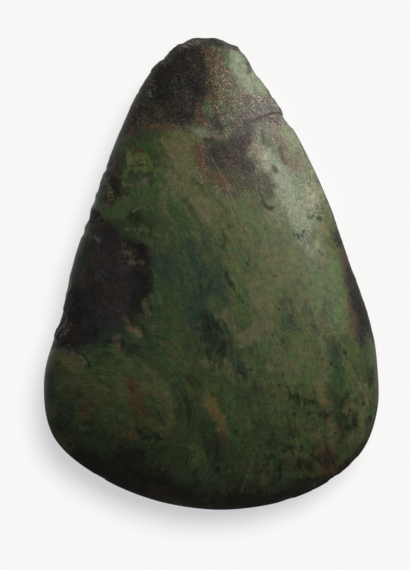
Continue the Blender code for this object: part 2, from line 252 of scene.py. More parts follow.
# A mark is the route that it follows, half its width, and its strength at the middle
MARKS = {
    "olive": (
        (((-12.4, 43.4), (-4.0, 29.4), (7.2, 13.7)), 5.6, 1.0),
        (((8.3, 25.9), (21.3, 13.7), (31.1, -5.6)), 10.5, 0.85),
        (((18.8, 8.4), (20.6, -10.8)), 10.5, 0.78), (((-8.9, 25.9), (-6.4, 8.4)), 2.8, 0.4),
        (((-56.1, -30.8), (-57.2, -36.4)), 2.8, 1.3), (((-57.2, -43.4), (-56.5, -48.3)), 2.1, 1.0),
        (((-50.2, -58.8), (-47.4, -63.0)), 2.8, 1.0),
        (((7.2, 4.2), (10.0, -9.1), (14.2, -18.2)), 3.15, 0.8), (((27.6, -24.8), (31.1, -34.3)), 8.4, 0.9),
        (((39.8, 8.4), (45.1, -19.6)), 4.9, 0.8), (((0.2, -30.8), (8.6, -35.0)), 3.5, 0.35),
        (((12.1, -29.4), (15.6, -35.0)), 2.8, 0.5), (((11.4, -16.1), (15.6, -20.3)), 2.8, 0.4),
        (((-21.5, -16.1), (-13.8, -20.3)), 3.15, 0.5), (((-8.2, -37.8), (0.2, -39.9)), 2.8, 0.4),
        (((27.6, -30.8), (29.0, -34.3)), 2.8, 0.4), (((34.6, 4.2), (35.3, 0.0)), 2.8, 0.4),
        (((5.8, 18.2), (9.3, 14.7)), 2.8, 0.35),
        (((-53.0, -35.7), (-32.0, -38.8), (-18.0, -41.3)), 5.25, 0.92),
        (((-15.2, -42.3), (-13.8, -51.1), (-16.6, -56.7)), 1.75, 0.85),
        (((-40.7, -44.8), (-21.5, -52.8)), 5.6, 0.65), (((-5.4, -58.1), (-6.8, -65.8)), 2.45, 0.5),
        (((17.8, -35.3), (21.3, -44.1)), 2.8, 0.6), (((38.1, -33.6), (39.8, -44.1)), 3.15, 0.6),
        (((31.1, -54.6), (39.8, -58.1)), 4.9, 0.65), (((22.3, -45.8), (46.8, -42.3)), 9.1, 0.3),
        (((26.9, -65.1), (35.3, -67.2)), 3.85, 0.85), (((12.8, -47.6), (11.8, -58.1)), 2.8, 0.45),
        (((-15.2, -23.1), (-11.0, -32.9)), 4.2, 0.5), (((-32.0, -28.7), (-21.5, -34.3)), 2.8, 0.6),
        (((46.8, -26.6), (49.3, -37.1)), 3.15, 0.5), (((-53.0, -42.3), (-46.0, -51.1)), 4.2, 0.5),
        (((4.8, -68.6), (7.2, -73.5)), 2.8, 0.4),
    ),
    "fresh": (
        (((-40.0, 22.8), (-34.8, 21.7), (-29.2, 22.4)), 2.1, 1.0),
        (((-16.6, 33.6), (-13.8, 26.6)), 2.8, 0.9), (((-31.6, 47.6), (-29.2, 43.4)), 2.1, 0.8),
        (((-24.3, 18.2), (-18.7, 14.7)), 2.45, 0.6), (((-44.6, -34.3), (-30.2, -33.6)), 2.8, 0.9),
        (((-43.9, -25.2), (-39.7, -30.8)), 2.1, 0.7),
        (((-56.5, -30.1), (-55.4, -37.1), (-53.7, -43.4)), 2.8, 1.1),
        (((26.2, -30.1), (31.1, -33.6), (36.0, -35.0)), 3.5, 0.9),
        (((-22.9, 0.0), (-20.1, -7.7)), 3.15, 1.1), (((-32.7, 24.9), (-27.1, 23.5)), 2.45, 0.5),
        (((-22.2, 11.9), (-19.4, 7.7)), 2.45, 0.5), (((41.6, 3.2), (44.4, -16.1)), 3.15, 0.75),
        (((34.6, 3.2), (37.4, -9.1)), 2.8, 0.5), (((32.8, 20.7), (36.0, 13.7)), 2.1, 0.7),
        (((-25.0, 27.7), (-11.0, 15.4)), 4.9, 0.45), (((46.8, -31.8), (49.3, -41.3)), 2.1, 0.5),
        (((17.8, -22.4), (18.5, -30.8)), 2.8, 0.7), (((-4.0, -63.4), (1.3, -70.4)), 3.85, 0.5),
        (((5.8, -44.8), (7.2, -54.6)), 2.8, 0.55), (((-29.9, -44.8), (-34.8, -49.3)), 2.45, 0.5),
        (((-27.8, -27.3), (-21.5, -32.9), (-15.9, -39.2), (-13.1, -44.8)), 0.88, 0.9),
        (((-45.3, -35.0), (-40.4, -30.1)), 2.1, 0.6), (((10.0, 20.7), (17.8, 14.7)), 2.45, 0.5),
        (((-39.0, -28.3), (-28.5, -27.3)), 2.1, 0.6),
    ),
    "moss": (
        (((11.8, 3.5), (12.8, 1.4)), 1.23, 1.0), (((10.0, -7.0), (12.1, -14.7)), 2.45, 0.95),
        (((-21.5, 45.5), (-20.8, 40.6)), 1.75, 0.8),
        (((-21.5, 29.4), (-13.8, 20.7), (-7.5, 14.7)), 2.8, 0.5),
        (((-17.3, 33.6), (-13.8, 25.2)), 3.15, 0.6), (((14.6, 27.7), (16.3, 22.4)), 1.75, 0.7),
        (((6.5, 23.1), (7.9, 22.4)), 1.75, 0.6), (((24.4, -14.7), (24.4, -23.1)), 1.23, 0.9),
        (((32.8, -25.2), (35.3, -26.6)), 2.1, 0.6), (((5.1, -44.1), (7.9, -54.6)), 2.45, 0.6),
        (((17.0, -27.3), (17.8, -33.6)), 2.8, 0.5), (((-11.7, -29.4), (-10.3, -32.2)), 2.1, 0.6),
        (((43.0, -31.8), (45.1, -43.4)), 2.1, 0.6), (((31.1, -39.2), (35.3, -37.1)), 2.45, 0.5),
        (((-21.5, -42.3), (-19.7, -47.6)), 2.45, 0.5), (((-18.0, -27.3), (-12.7, -37.1)), 2.1, 0.6),
        (((1.3, -38.8), (8.3, -44.1)), 2.1, 0.5), (((-10.3, -52.8), (-7.5, -58.1)), 2.1, 0.5),
        (((-18.0, -5.6), (-13.8, -19.6)), 3.5, 0.4), (((13.5, -57.4), (17.8, -61.6)), 2.45, 0.5),
        (((31.8, -58.1), (32.5, -61.6)), 1.75, 0.6),
    ),
    "teal": (
        (((-6.1, 9.8), (-4.3, -0.3), (-6.1, -14.3)), 3.5, 0.85), (((0.9, 0.7), (2.3, -8.4)), 2.8, 0.5),
        (((-36.2, -16.8), (-39.3, -24.1)), 2.8, 0.95), (((-43.2, 13.3), (-44.6, 4.2)), 1.4, 0.9),
        (((-22.2, -17.8), (-19.7, -24.8)), 2.8, 0.6),
        (((-20.4, 12.6), (-18.0, 4.2), (-19.0, -9.8)), 2.1, 0.55),
        (((5.8, -28.0), (10.0, -33.6), (14.2, -41.3)), 2.45, 0.6),
        (((33.9, -11.2), (35.3, -16.1)), 2.1, 0.42), (((25.5, -16.8), (29.7, -20.3)), 2.45, 0.4),
        (((43.0, -27.3), (44.4, -38.5)), 1.75, 0.7), (((-51.9, -44.1), (-49.5, -48.3)), 2.45, 0.8),
        (((-43.9, -27.6), (-36.9, -26.6)), 1.75, 0.5), (((18.5, -51.8), (21.3, -55.3)), 2.1, 0.45),
        (((-11.7, -35.3), (-9.6, -42.3)), 2.1, 0.6), (((2.0, -65.8), (2.7, -68.6)), 2.1, 0.6),
        (((12.8, -38.1), (15.6, -39.9)), 2.45, 0.35), (((-1.2, 57.1), (-0.8, 55.7)), 1.23, 0.95),
        (((4.1, 58.8), (5.1, 56.7)), 1.23, 0.8), (((5.1, 51.5), (5.5, 49.0)), 1.23, 0.75),
        (((0.6, 78.8), (2.3, 77.7)), 1.05, 0.8), (((-18.0, 4.2), (-9.6, -5.6)), 4.2, 0.7),
        (((0.9, -14.0), (-1.2, -23.8)), 2.45, 0.8), (((-18.7, -8.4), (-15.9, -20.3)), 3.15, 0.45),
        (((-29.9, -19.6), (-27.1, -26.6)), 2.8, 0.55), (((-21.5, 53.2), (-20.8, 51.1)), 1.4, 0.6),
    ),
    # Deep marks are near-black green knots and streaks. The many in the lower part of the head are also
    # painted shade, darkening it towards the blade.
    "deep_and_lower_shade": (
        (((-1.2, -16.1), (0.6, -19.6), (1.6, -24.5)), 3.85, 0.95),
        (((-8.2, -42.3), (-7.5, -51.1)), 2.1, 0.25), (((-24.3, -9.1), (-23.2, -12.9)), 0.7, 0.9),
        (((8.6, -30.8), (11.4, -35.7), (14.2, -40.6)), 1.05, 0.3),
        (((-1.9, -25.2), (2.3, -30.8)), 2.8, 0.5), (((5.8, 0.4), (7.6, -5.6)), 0.84, 0.8),
        (((-26.7, 19.6), (-20.8, 13.3)), 2.8, 0.5), (((-34.1, -23.8), (-27.1, -26.6)), 2.45, 0.7),
        (((46.5, -44.8), (48.6, -53.2)), 2.45, 0.75), (((26.9, -40.6), (32.8, -44.8)), 1.23, 0.6),
        (((19.2, -63.0), (21.3, -67.2)), 2.45, 0.35), (((23.4, -66.2), (24.1, -71.4)), 1.05, 0.8),
        (((-0.5, -58.1), (1.6, -63.0)), 2.45, 0.6), (((-2.6, -51.1), (0.2, -55.3)), 2.45, 0.4),
        (((-8.9, -44.8), (-7.5, -48.3)), 2.45, 0.4), (((-8.9, -65.1), (-5.4, -68.6)), 2.45, 0.35),
        (((12.1, -65.8), (15.6, -68.6)), 2.45, 0.35), (((25.5, -51.8), (28.6, -54.6)), 2.1, 0.35),
        (((1.3, -66.9), (10.0, -71.4)), 3.15, 0.3), (((23.4, -59.5), (29.0, -61.6)), 2.1, 0.5),
        (((22.7, -72.1), (32.8, -72.8)), 2.45, 0.6), (((30.4, 14.0), (31.8, 12.3)), 1.23, 0.8),
        (((33.9, 19.6), (36.3, 18.2)), 0.88, 0.8), (((-2.9, -2.1), (-1.2, -4.9)), 2.1, 0.5),
        (((25.1, -9.1), (27.6, -14.3)), 2.1, 0.4), (((-26.4, -55.3), (-18.0, -58.8)), 3.15, 0.4),
        (((-8.2, 32.9), (-4.0, 29.4)), 1.4, 0.45), (((5.8, 16.1), (4.4, 8.4)), 1.4, 0.3),
        (((-43.2, -53.9), (-39.0, -56.0)), 3.15, 0.2), (((38.1, -48.3), (40.2, -49.7)), 1.05, 0.5),
        (((55.6, -34.3), (56.3, -38.5)), 1.4, 0.6),
    ),
    # Umber is a dark brown, partly the stone's own and partly painted shade. It lies thickest along the
    # blade's lower edge and along the left edge, where the faces turn away from the light.
    "umber_and_edge_shade": (
        (((-31.3, -63.7), (-24.3, -65.8)), 4.55, 0.85),
        (((-46.0, -65.8), (-32.0, -74.9), (-18.0, -79.5)), 4.55, 1.6),
        (((8.6, -78.4), (17.8, -80.5), (34.6, -76.7)), 3.15, 1.5),
        (((-33.4, -68.6), (-19.4, -73.5)), 5.95, 1.05), (((-16.2, -75.6), (7.2, -79.5)), 3.15, 1.0),
        (((-5.4, -74.2), (17.8, -75.6)), 3.5, 0.5), (((-32.0, -72.8), (-14.5, -76.3)), 3.15, 0.8),
        (((31.1, -74.2), (40.9, -70.7)), 2.1, 0.9), (((26.2, -65.8), (35.3, -67.9)), 2.45, 0.65),
        (((41.6, -42.7), (44.4, -56.7)), 2.45, 0.6), (((-52.3, -52.5), (-47.4, -59.5)), 2.8, 0.45),
        (((-41.8, -62.3), (-39.0, -66.5)), 2.1, 0.6), (((11.8, -78.4), (31.1, -76.3)), 2.8, 0.55),
        (((39.8, -72.8), (51.4, -64.4), (53.5, -60.2)), 2.1, 1.1),
        (((37.4, -60.9), (43.7, -70.0)), 3.5, 0.8), (((-43.2, -68.6), (-28.5, -76.3)), 2.8, 1.3),
        (((-36.5, 40.6), (-35.1, 28.7)), 3.15, 1.4), (((-7.5, -35.7), (-4.0, -37.8)), 1.4, 0.5),
        (((-2.6, 80.9), (5.1, 80.2), (8.6, 78.4)), 1.75, 1.0), (((41.6, -23.1), (43.0, -26.6)), 1.4, 0.4),
        (((-26.4, 20.0), (-18.0, 17.2)), 2.1, 0.4), (((22.0, -57.0), (17.8, -59.8)), 1.4, 0.4),
    ),
    "tan": (
        (((-8.9, 48.3), (-10.6, 39.9), (-11.0, 30.8)), 4.73, 0.94),
        (((-16.9, 46.2), (-14.5, 42.7), (-12.4, 38.2)), 1.05, 0.85),
        (((-12.0, 34.7), (-6.8, 27.7), (-1.5, 20.0)), 2.1, 0.8), (((-0.5, 23.8), (5.8, 24.2)), 2.84, 0.59),
        (((19.9, 7.7), (22.7, 0.0)), 3.15, 0.6), (((16.0, -6.3), (17.8, -13.3)), 3.15, 0.75),
        (((10.0, -21.7), (15.6, -21.0), (18.1, -17.5)), 2.28, 0.9),
        (((4.1, -14.0), (7.2, -18.2)), 1.89, 0.59),
        (((-1.9, -30.8), (3.7, -30.1), (7.2, -34.6)), 2.38, 0.3),
        (((26.2, -30.1), (28.3, -34.3)), 2.45, 0.5), (((38.4, -26.6), (40.2, -34.3)), 1.75, 0.5),
        (((17.8, -60.2), (19.2, -72.1)), 2.1, 0.35), (((-39.0, -39.2), (-25.0, -39.9)), 2.8, 0.6),
        (((37.0, -15.0), (38.8, -18.5)), 2.38, 0.64), (((22.7, -26.6), (21.3, -31.1)), 2.38, 0.59),
        (((31.4, -26.2), (34.6, -30.1)), 2.38, 0.42), (((-50.9, -36.4), (-39.7, -38.5)), 1.89, 0.72),
        (((-33.4, -40.9), (-28.5, -36.7)), 1.89, 0.64),
        (((52.4, -38.5), (53.8, -45.8), (52.4, -52.8), (50.3, -57.4)), 2.45, 0.45),
        (((37.4, -35.7), (38.4, -42.7)), 2.14, 0.77), (((41.6, -52.5), (43.3, -56.0)), 2.1, 0.45),
        (((37.0, -57.0), (37.4, -61.2)), 1.89, 0.51), (((28.6, -60.2), (27.2, -63.7)), 2.14, 0.3),
        (((35.6, 28.0), (37.4, 20.7), (38.4, 14.0)), 2.84, 0.81), (((37.0, 11.6), (38.4, 6.0)), 2.14, 0.72),
        (((-1.9, -42.0), (1.6, -48.3), (3.4, -53.5)), 1.93, 0.55),
        (((38.1, -23.1), (38.8, -33.6), (40.5, -45.8), (42.6, -58.1)), 2.1, 0.32),
        (((29.7, -11.2), (32.1, -8.7)), 1.89, 0.42), (((47.9, -43.4), (47.9, -47.2)), 1.75, 0.4),
        (((13.9, -65.1), (12.5, -70.7)), 0.88, 0.35), (((-21.5, -38.5), (-16.2, -41.3)), 1.89, 0.42),
        (((6.5, 20.7), (13.5, 11.9)), 2.38, 0.34), (((25.8, 3.2), (29.7, 2.1)), 2.84, 0.42),
        (((-16.9, 24.2), (-15.2, 20.3)), 1.89, 0.34), (((-43.9, -44.8), (-41.1, -41.3)), 2.38, 0.34),
    ),
    # Sage is partly the stone's pale grey-green and partly a painted sheen: these pale marks on the upper
    # right shoulder stand in for the soft box's gloss.
    "sage_and_sheen": (
        (((7.9, 77.0), (9.3, 71.4), (14.6, 64.1)), 2.8, 1.0), (((17.8, 62.3), (19.9, 58.8)), 1.75, 0.7),
        (((24.1, 51.1), (28.3, 44.8)), 3.15, 0.95), (((5.1, 77.0), (6.9, 74.2)), 1.05, 0.45),
        (((26.2, 43.4), (31.1, 36.4)), 3.5, 0.6), (((23.0, 35.7), (27.6, 27.7), (31.4, 19.6)), 4.9, 0.8),
        (((32.1, 37.8), (35.3, 25.9)), 3.5, 0.75), (((19.9, 23.8), (23.4, 18.9)), 2.45, 0.25),
        (((30.4, 14.7), (34.6, 7.7)), 2.45, 0.4), (((19.9, 40.6), (22.7, 34.7)), 2.1, 0.6),
        (((-6.8, 51.1), (-1.9, 47.3)), 1.4, 0.6), (((39.8, 23.8), (41.2, 20.3)), 1.4, 0.25),
        (((14.2, 70.0), (17.8, 63.7)), 2.1, 0.9), (((13.9, 53.2), (16.3, 51.1)), 1.4, 0.3),
    ),
    "cream": (
        (((13.9, 43.8), (16.0, 41.7), (19.9, 39.2)), 2.1, 0.65),
        (((32.8, 29.4), (35.3, 23.5)), 2.1, 0.35), (((37.0, 10.9), (38.1, 7.7)), 1.4, 0.4),
        (((-54.0, -26.9), (-50.9, -28.0), (-47.4, -28.7), (-44.6, -30.1)), 2.1, 0.7),
        (((-50.2, -30.4), (-46.0, -31.5)), 1.4, 0.5),
        (((-28.1, 42.0), (-28.1, 37.8), (-25.7, 37.1)), 0.46, 0.9),
        (((-22.2, 39.2), (-20.8, 36.4)), 0.46, 0.6), (((-25.0, 36.1), (-23.2, 36.1)), 0.7, 0.8),
    ),
    "leaf": (
        (((-26.7, 41.0), (-23.2, 39.6)), 2.45, 1.0), (((-52.3, -28.0), (-45.3, -30.4)), 2.1, 0.6),
        (((-29.9, 35.0), (-27.4, 36.8), (-21.5, 35.7)), 1.05, 0.95),
        (((-8.2, -59.1), (-5.4, -63.7)), 1.58, 0.45), (((-16.2, -52.5), (-17.3, -57.0)), 1.23, 0.45),
    ),
    "ochre": (
        (((-0.1, -43.4), (1.6, -48.6), (3.0, -53.2)), 1.58, 1.0),
        (((38.1, -39.2), (38.8, -44.8)), 1.75, 0.35), (((41.6, -50.7), (43.0, -54.6)), 1.75, 0.32),
        (((51.4, -50.0), (52.1, -53.5)), 1.75, 0.35), (((-25.0, 56.7), (-17.3, 53.6)), 2.45, 1.0),
        (((-27.1, 53.2), (-28.8, 49.7)), 1.58, 0.7), (((0.6, 70.0), (1.3, 61.6)), 2.1, 0.45),
        (((3.4, 32.6), (6.9, 30.5)), 1.4, 0.9), (((-1.5, 60.6), (3.7, 59.9)), 1.4, 0.7),
        (((-16.2, 59.5), (-7.5, 58.5)), 2.1, 0.75), (((-22.5, -8.7), (-21.8, -10.5)), 0.77, 1.5),
        (((-25.3, -19.2), (-23.6, -20.6)), 0.84, 1.0), (((-28.5, -16.4), (-27.1, -19.2)), 0.84, 0.7),
        (((-52.3, -28.7), (-45.3, -31.5)), 1.75, 0.3), (((-23.9, 67.2), (-22.2, 64.4)), 1.4, 0.6),
        (((-26.0, 5.6), (-24.3, 2.1)), 1.23, 0.7), (((-41.8, -45.8), (-43.9, -49.3)), 1.4, 0.5),
        (((-29.9, -54.9), (-27.4, -55.3)), 1.4, 0.5), (((-36.2, 30.8), (-34.8, 27.0)), 1.4, 0.6),
        (((37.4, -43.7), (39.5, -45.5)), 1.05, 0.6), (((-46.0, 4.2), (-46.3, 1.4)), 0.88, 0.7),
    ),
    "taupe": (
        (((1.3, 74.2), (2.0, 66.5), (3.4, 54.6)), 3.85, 1.0), (((-2.6, 53.9), (2.3, 47.6)), 3.5, 0.65),
        (((5.1, 70.7), (7.6, 60.9)), 2.45, 0.85), (((3.7, 60.9), (7.2, 52.2)), 4.2, 0.85),
        (((-11.0, 78.8), (-4.0, 80.5)), 1.58, 1.0), (((10.0, 62.0), (12.5, 55.3)), 2.8, 0.9),
        (((19.9, 51.1), (24.8, 43.4), (29.0, 37.1)), 2.8, 0.5), (((13.5, 38.2), (17.8, 31.2)), 2.8, 0.7),
        (((3.7, 29.1), (10.0, 27.7)), 2.45, 0.6), (((-1.9, 44.8), (-3.6, 37.8), (-2.6, 34.3)), 2.1, 0.7),
        (((-25.0, 56.4), (-28.5, 50.1)), 2.63, 1.15), (((-36.9, 32.2), (-34.8, 25.2)), 1.75, 0.4),
        (((-23.2, 66.2), (-21.5, 65.1)), 1.75, 0.7), (((8.6, 39.2), (11.8, 34.3)), 3.15, 0.42),
        (((16.3, 53.2), (22.7, 52.5)), 2.45, 0.9), (((15.6, 60.2), (22.7, 59.9)), 2.1, 0.8),
        (((-18.0, 50.8), (-7.5, 50.4)), 1.05, 0.55), (((-53.0, -21.0), (-48.8, -17.5)), 1.75, 0.6),
        (((13.5, 47.6), (14.2, 43.4)), 2.8, 0.75), (((31.1, 39.9), (33.2, 33.6)), 2.1, 0.35),
        (((-32.7, -23.1), (-31.3, -26.6)), 1.75, 0.3),
    ),
    "slate": (
        (((-36.9, 8.4), (-33.7, -2.8), (-34.8, -12.6)), 6.3, 1.3),
        (((-39.0, -3.5), (-41.8, -8.4)), 4.2, 0.7), (((-56.5, -34.3), (-56.5, -43.4)), 1.75, 0.6),
        (((-10.3, 66.5), (-9.6, 58.1)), 2.8, 0.45), (((-47.4, 3.5), (-44.6, -4.2)), 3.15, 0.8),
        (((-20.8, -10.5), (-20.8, -14.0)), 2.1, 0.3), (((-43.2, -15.4), (-44.6, -22.4)), 2.8, 0.5),
        (((-21.1, 11.9), (-19.4, 7.7)), 2.1, 0.3), (((-37.6, -58.1), (-31.3, -60.2)), 2.45, 0.3),
    ),
    "ash": (
        (((15.6, 62.3), (20.6, 60.2), (23.7, 57.4)), 2.45, 0.36),
        (((13.5, 59.5), (15.6, 56.0)), 2.1, 0.25), (((-9.6, 79.8), (-4.7, 80.9)), 1.4, 0.35),
        (((-21.8, 67.9), (-20.8, 63.0)), 2.1, 0.3),
    ),
    "lilac": (
        (((23.7, 57.4), (18.5, 56.7), (14.2, 53.9)), 3.15, 0.85),
        (((14.9, 52.9), (23.4, 53.2)), 3.15, 0.85), (((11.4, 53.9), (9.7, 49.7)), 2.45, 0.5),
        (((17.8, 49.7), (21.3, 49.0)), 2.8, 0.4),
    ),
    "mauve": (
        (((3.7, 80.9), (9.3, 79.1)), 1.4, 0.7), (((23.4, 56.7), (18.5, 57.1), (13.5, 54.3)), 2.8, 0.6),
        (((12.1, 52.5), (10.7, 46.9), (9.3, 43.1)), 2.8, 1.08), (((1.6, 41.3), (3.7, 38.5)), 3.85, 1.15),
        (((4.4, 33.6), (10.7, 30.5), (15.6, 32.2)), 2.8, 0.6), (((4.4, 39.9), (12.1, 36.4)), 3.15, 1.15),
        (((7.2, 43.4), (9.3, 37.8)), 2.8, 0.75), (((-2.9, 45.5), (0.2, 45.5)), 1.05, 0.85),
        (((18.5, 32.9), (19.9, 27.3)), 1.93, 0.65), (((17.4, 24.5), (20.6, 21.7)), 0.88, 0.85),
        (((0.6, 53.2), (3.0, 50.1)), 1.93, 0.85), (((12.5, 72.5), (13.2, 70.0)), 1.05, 0.6),
        (((24.1, 43.4), (26.5, 38.9)), 0.77, 0.7), (((21.6, 37.1), (22.7, 35.0)), 0.88, 0.7),
        (((-34.8, -61.2), (-31.3, -63.7)), 2.1, 0.25), (((16.3, 29.4), (17.8, 25.9)), 1.4, 0.4),
        (((5.8, 78.4), (6.5, 74.9)), 0.7, 0.6), (((11.8, 60.9), (13.5, 56.7)), 1.4, 0.5),
        (((5.1, 28.0), (10.0, 26.6)), 1.05, 0.5),
    ),
    "rust": (
        (((-1.2, 77.7), (0.6, 72.8)), 2.1, 0.75), (((-5.0, 57.8), (-4.0, 53.6)), 1.75, 0.8),
        (((-26.0, 43.4), (-23.9, 42.7)), 0.63, 0.85), (((-34.1, 38.5), (-32.7, 35.7)), 1.75, 0.55),
        (((-5.0, 42.7), (-2.9, 36.4)), 1.58, 0.9), (((-0.8, 34.0), (4.1, 30.8)), 1.58, 0.9),
        (((-27.4, -37.8), (-25.7, -42.7)), 1.93, 0.85), (((-27.1, -45.5), (-23.6, -48.3)), 1.75, 0.9),
        (((13.5, 29.1), (13.5, 24.2)), 0.84, 0.65), (((40.2, -61.6), (42.6, -65.8)), 2.8, 0.42),
        (((39.5, -68.6), (42.6, -69.3)), 2.45, 0.5), (((-32.0, -54.9), (-33.4, -60.2)), 1.05, 0.75),
        (((-42.5, -44.1), (-44.6, -48.3)), 1.05, 0.6), (((3.7, -56.0), (3.7, -58.8)), 1.4, 0.45),
        (((45.4, 9.1), (46.8, -0.7)), 1.05, 0.6), (((48.2, -10.1), (49.6, -20.3)), 1.58, 0.6),
        (((-46.3, 1.4), (-43.2, -3.5)), 1.75, 0.45), (((-0.1, 60.9), (2.0, 59.9)), 1.23, 0.65),
        (((-22.2, 51.5), (-11.7, 50.1)), 1.4, 0.75), (((-29.9, 55.3), (-27.8, 51.1)), 1.58, 0.75),
        (((21.3, 36.1), (20.2, 34.7)), 0.63, 0.8), (((-6.8, -76.3), (-1.2, -78.1)), 1.4, 0.3),
        (((31.1, -9.1), (33.2, -10.1)), 0.88, 0.5), (((22.0, 49.0), (25.1, 43.4)), 1.58, 0.42),
        (((24.4, 41.7), (29.3, 37.8)), 1.58, 0.42), (((-35.5, -63.4), (-32.0, -68.6)), 1.4, 0.22),
        (((-29.5, 9.1), (-26.7, 3.5)), 2.45, 0.32), (((-53.0, -19.6), (-49.5, -17.5)), 1.75, 0.35),
        (((3.7, 37.8), (8.6, 33.6)), 2.8, 0.26), (((-21.5, -75.6), (-15.9, -77.0)), 1.75, 0.35),
        (((-22.2, -11.2), (-21.5, -13.3)), 0.88, 0.6),
    ),
    "fern": (
        (((-1.5, 58.1), (-0.5, 55.3)), 1.58, 1.0), (((3.7, 59.5), (5.1, 56.4)), 1.4, 0.8),
        (((0.9, 78.8), (2.7, 77.4)), 1.05, 0.5), (((5.1, 51.8), (5.8, 48.7)), 1.4, 0.7),
        (((5.1, 76.3), (6.2, 72.1)), 1.05, 0.8), (((-39.0, 4.2), (-34.8, -9.1)), 4.9, 0.16),
    ),
    "frost": (
        (((-29.5, 9.8), (-27.1, 3.9)), 2.1, 0.3), (((-25.3, 4.2), (-23.9, 3.9)), 0.49, 1.0),
        (((-33.0, -22.4), (-32.0, -25.2)), 1.23, 0.7), (((-30.6, -15.4), (-28.5, -18.2)), 1.05, 0.3),
        (((-25.0, -19.9), (-23.9, -21.0)), 0.63, 0.8), (((-40.4, 12.6), (-39.3, 10.9)), 0.46, 0.7),
        (((-53.0, -20.3), (-49.5, -16.8)), 1.4, 0.35), (((-30.2, 31.5), (-21.5, 31.5)), 0.88, 0.75),
        (((-30.6, 26.3), (-28.5, 26.6)), 0.7, 0.85), (((-21.5, -13.3), (-21.1, -14.0)), 0.49, 1.0),
        (((-40.0, 23.5), (-37.6, 20.7)), 0.53, 0.8), (((-26.4, 21.0), (-25.0, 22.1)), 0.46, 0.55),
        (((-39.0, 18.6), (-36.5, 19.6)), 0.46, 0.8), (((-29.9, 15.8), (-25.0, 14.7)), 0.88, 0.35),
        (((-49.5, -24.8), (-53.7, -26.6)), 0.7, 0.5),
    ),
}
# A fissure is its route, half its width and its depth
FISSURES = {
    "right notch": (
        ((27.6, 54.3), (25.5, 55.3), (23.7, 56.2), (21.3, 55.9), (17.8, 54.6), (14.6, 53.2), (11.1, 51.8)),
        0.39, 0.3,
    ),
    "upright": (((17.4, 49.7), (17.8, 44.8)), 0.28, 0.08),
    "hook": (((16.7, 27.3), (18.5, 23.8), (19.9, 22.1), (21.6, 23.1)), 0.25, 0.05),
    "left triangle": (((-47.4, -26.9), (-44.6, -28.0), (-42.8, -30.1), (-42.1, -32.2)), 0.42, 0.16),
    "left notch": (((-45.3, 18.9), (-41.8, 19.3), (-38.6, 20.3)), 0.42, 0.1),
    "under the leaf": (((-28.1, 37.1), (-23.9, 37.8), (-20.8, 37.1)), 0.25, 0.12),
}
# A thread of pale mineral is its route and half its width
THREADS = {
    "lower": (((16.7, -58.1), (14.2, -63.4), (12.8, -69.0), (11.1, -73.9), (10.4, -76.3)), 0.25),
    "shoulder": (((-16.9, 46.2), (-14.5, 42.7), (-12.0, 37.5)), 0.35),
    "upper": (((-12.4, 32.9), (-7.5, 26.6), (-1.5, 18.6)), 0.28),
    "right": (((50.3, -36.4), (53.1, -41.3), (54.9, -45.8)), 0.32),
    "fold": (((-21.5, -32.9), (-16.6, -38.8), (-13.8, -44.1), (-14.5, -52.8)), 0.28),
    "second": (((5.1, 27.7), (7.2, 21.7), (8.6, 15.4)), 0.21),
    "third": (((0.2, 39.9), (5.1, 30.8), (8.6, 22.4)), 0.21),
}
SPECKS = (
    (12.5, 2.8), (7.2, -3.5), (7.6, -5.6), (23.7, -12.2), (29.0, -17.8), (34.2, -3.8), (24.4, -22.4),
    (55.2, -37.1), (29.0, -47.2), (33.9, -44.8), (34.9, -45.5), (33.2, -48.6), (39.8, -49.0), (32.8, -54.6),
    (30.0, -42.0), (48.6, -47.6), (52.8, -45.5), (43.0, -32.2), (41.2, -30.8), (38.1, 7.7), (39.1, 6.7),
    (31.1, 13.7), (29.7, 13.0), (34.9, 19.6), (36.3, 18.6), (12.5, -32.5), (43.0, -54.9), (27.2, -42.3),
    (8.3, -54.6), (24.4, -51.1), (2.3, -67.9), (46.1, -27.6), (26.9, -14.0), (21.6, -0.7), (-2.6, -4.2),
    (56.3, -38.1), (31.8, 14.7), (28.3, 13.3), (33.9, 20.3), (37.0, 17.9), (6.5, -1.7), (9.0, -7.7),
    (10.4, -9.1), (26.2, -16.8), (30.4, -19.6), (34.6, -45.1), (33.5, -48.3), (43.3, -32.2), (44.4, -50.4),
    (28.6, -56.3), (22.0, -54.6), (24.1, -61.2), (26.9, -38.5), (23.4, -38.1), (27.6, -41.3), (32.1, -43.4),
    (55.6, -50.4), (14.6, -50.4), (39.1, -56.3), (46.1, -28.0), (16.0, -59.1), (42.6, -66.2), (23.7, -67.9),
)
SPECK_HALF = 0.74


def ragged(points, seed):
    """The places that these points look their features up at, so that every border wanders."""
    wander = points[:, :2].copy()
    for axis in range(2):
        for size, reach in ((7.0, 1.4), (2.2, 0.8)):
            wander[:, axis] += reach * noise_at(points, size, seed + 11 * axis + size)
    return wander


def noise_at(points, size, seed):
    """Smooth noise from about -1 to 1, with lumps of this size in millimetres."""
    shifted = points / size + (seed, 2.3 * seed, 1.7 * seed)
    return np.array([noise.noise(Vector(place)) for place in shifted])


def distance_to(places, route):
    """The distance from each place to an open route through points."""
    route = np.array(route)
    nearest = np.full(len(places), np.inf)
    for start, end in zip(route, route[1:]):
        span = end - start
        share = np.clip((places - start) @ span / (span @ span), 0.0, 1.0)
        nearest = np.minimum(nearest, np.hypot(*(places - start - share[:, None] * span).T))
    return nearest


def depth_inside(places, outline):
    """How far inside a closed outline each place is. Outside it is negative."""
    outline = np.array(outline)
    inside = np.zeros(len(places), bool)
    for (x0, y0), (x1, y1) in zip(outline, np.roll(outline, -1, axis=0)):
        crosses = (y0 > places[:, 1]) != (y1 > places[:, 1])
        inside ^= crosses & (places[:, 0] < x0 + (x1 - x0) * (places[:, 1] - y0) / (y1 - y0 + 1e-12))
    away = distance_to(places, np.vstack((outline, outline[:1])))
    return np.where(inside, away, -away)


